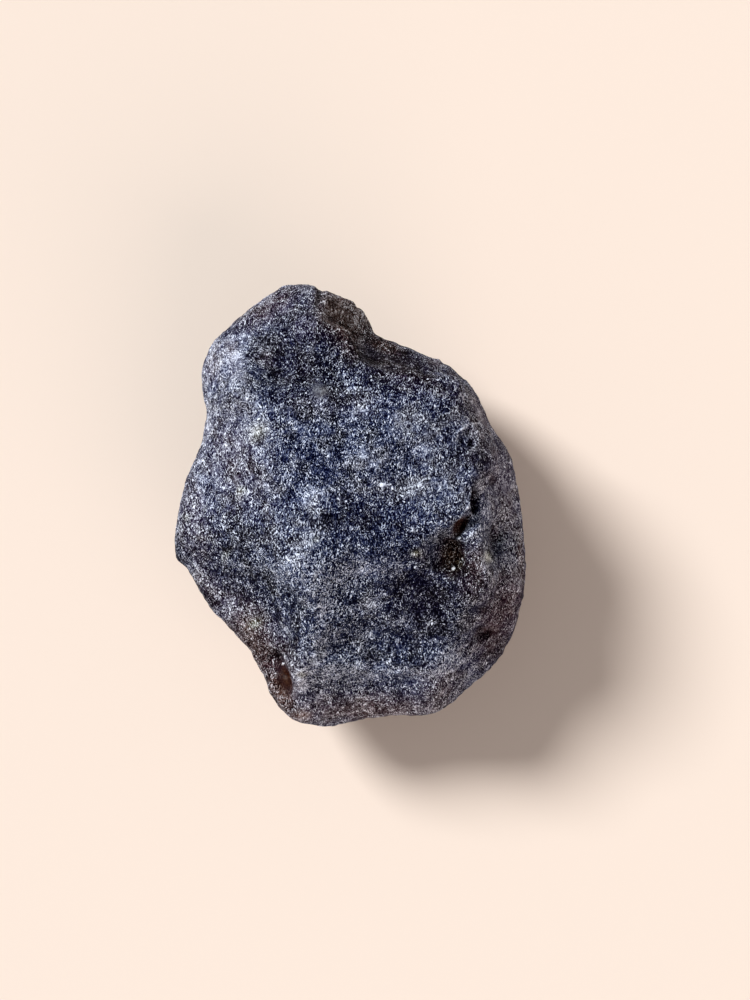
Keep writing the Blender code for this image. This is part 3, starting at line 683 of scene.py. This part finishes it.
# Painted warm bounce and real stain: the brown mark mixes in earth colours, stain in the cracks, pits and slot,
# painted warm light on the flanks and faces turned away.
colour = blend(tree, "MIX", stain_and_warm_bounce, colour, stain_and_bounce_colours)
colour = blend(tree, "MIX", ochre, colour, crumbs)
join(tree, colour, shader.inputs["Base Color"])
sheen = arithmetic(tree, "MULTIPLY_ADD", bare, 0.08, 0.01)
join(tree, sheen, shader.inputs["Specular IOR Level"])

gloss = arithmetic(tree, "MULTIPLY_ADD", grain, 0.5, 0.35)
gloss = arithmetic(tree, "MULTIPLY_ADD", bare, -0.15, gloss)
join(tree, gloss, shader.inputs["Roughness"])

relief = add(tree, "Bump")
relief.inputs["Strength"].default_value = 1
relief.inputs["Distance"].default_value = 0.09 * MM
join(tree, grit, relief.inputs["Height"])
join(tree, relief.outputs["Normal"], shader.inputs["Normal"])
skin.materials.clear()
skin.materials.append(glass)

# The floor: a plain pale tabletop.
bpy.ops.mesh.primitive_plane_add(size=12, location=(0, 0, floor_level))
table = bpy.context.object
table.name = "table"
paper = bpy.data.materials.new("pale_table")
paper.use_nodes = True
paper.node_tree.nodes["Principled BSDF"].inputs["Base Color"].default_value = (0.69, 0.573, 0.483, 1)
paper.node_tree.nodes["Principled BSDF"].inputs["Roughness"].default_value = 0.9
table.data.materials.append(paper)

# The light: a broad cool window far off on the upper left, and a weak warm wall on the
# lower right. Both are far away, so the floor is as bright wherever a view looks.
def far_light(name, towards, spread, strength, colour):
    light = bpy.data.lights.new(name, "SUN")
    light.angle = math.radians(spread)
    light.energy = strength
    light.color = colour
    lamp = bpy.data.objects.new(name, light)
    scene.collection.objects.link(lamp)
    lamp.rotation_mode = "QUATERNION"
    lamp.rotation_quaternion = Vector(towards).to_track_quat("Z", "Y")


far_light("window", (-2.48, 1.94, 2.71), 19, 4.93, (0.93, 0.965, 1.0))
far_light("warm_wall", (1.24, -2.0, 1.11), 55, 1.59, (1.0, 0.84, 0.79))
world = bpy.data.worlds.new("room")
world.use_nodes = True
world.node_tree.nodes["Background"].inputs["Color"].default_value = (0.9, 0.95, 1.0, 1)
world.node_tree.nodes["Background"].inputs["Strength"].default_value = 0.3
scene.world = world
scene.view_settings.view_transform = "Standard"

# The camera: straight above the stone, as the photograph looks down on it.
STONE_SCALE = 11.5  # pixels to a millimetre at the stone's widest contour
PHOTO_WIDTH, PHOTO_HEIGHT = 750, 1000
STONE_PIXEL = (351.5, 506.5)
HEIGHT = 0.20
SENSOR = 36
camera_data = bpy.data.cameras.new("camera")
camera_data.sensor_width = SENSOR
camera_data.lens = SENSOR * HEIGHT / (PHOTO_HEIGHT / STONE_SCALE * MM)
camera = bpy.data.objects.new("camera", camera_data)
scene.collection.objects.link(camera)
scene.camera = camera
camera.location = (
    (PHOTO_WIDTH / 2 - STONE_PIXEL[0]) / STONE_SCALE * MM,
    (STONE_PIXEL[1] - PHOTO_HEIGHT / 2) / STONE_SCALE * MM,
    0.0096 + HEIGHT,
)
